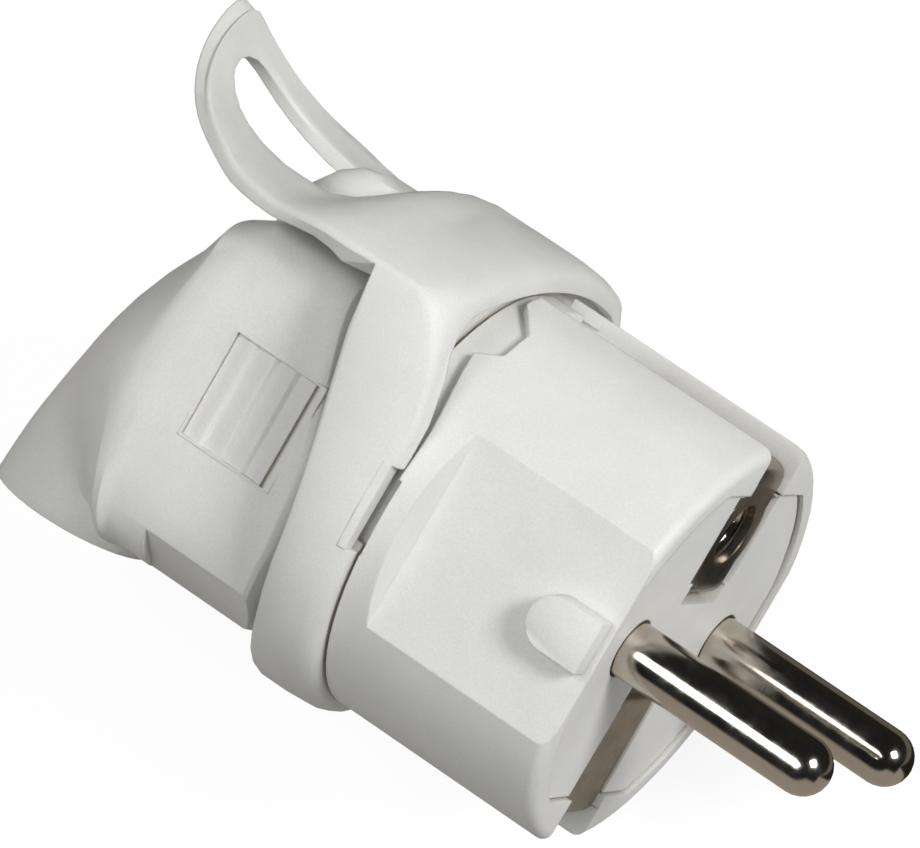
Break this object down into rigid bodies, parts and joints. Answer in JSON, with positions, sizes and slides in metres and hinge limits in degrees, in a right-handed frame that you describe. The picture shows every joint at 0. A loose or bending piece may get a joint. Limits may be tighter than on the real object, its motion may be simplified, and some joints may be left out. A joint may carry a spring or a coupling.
{
  "type": "angled mains plug",
  "caption": "Angled mains plug with round pins, earth strips at two sides, a hood whose cable way turns down and a pull handle with a finger loop.",
  "frame": {"origin": "middle of the contact carrier's front face, half way between the pins", "axes": "+X out along the pins, +Y towards the finger loop, +Z across from the neutral pin to the live pin"},
  "size_m": [0.0769, 0.0442, 0.04],
  "materials": {
    "housing_plastic": "satin moulded, off white",
    "handle_plastic": "satin moulded, off white",
    "carrier_plastic": "satin moulded, off white",
    "plated_brass": "nickel plated, polished",
    "plated_strip": "nickel plated, rolled",
    "screw_steel": "zinc plated",
    "bush_rubber": "soft, matte"
  },
  "bodies": {
    "root": {"front_shell": "housing_plastic", "contact_carrier": "carrier_plastic", "rear_cover": "housing_plastic", "pull_handle": "handle_plastic", "live_pin": "plated_brass", "neutral_pin": "plated_brass", "earth_contact": "plated_strip", "earth_socket": "plated_brass", "live_terminal_screw": "screw_steel", "neutral_terminal_screw": "screw_steel", "earth_terminal_screw": "screw_steel", "live_clamp_plate": "screw_steel", "neutral_clamp_plate": "screw_steel", "earth_clamp_plate": "screw_steel", "cord_clamp": "carrier_plastic", "cord_clamp_screw_left": "screw_steel", "cord_clamp_screw_right": "screw_steel", "housing_screw": "screw_steel", "housing_nut": "screw_steel", "cable_bush": "bush_rubber"}
  },
  "joints": []
}
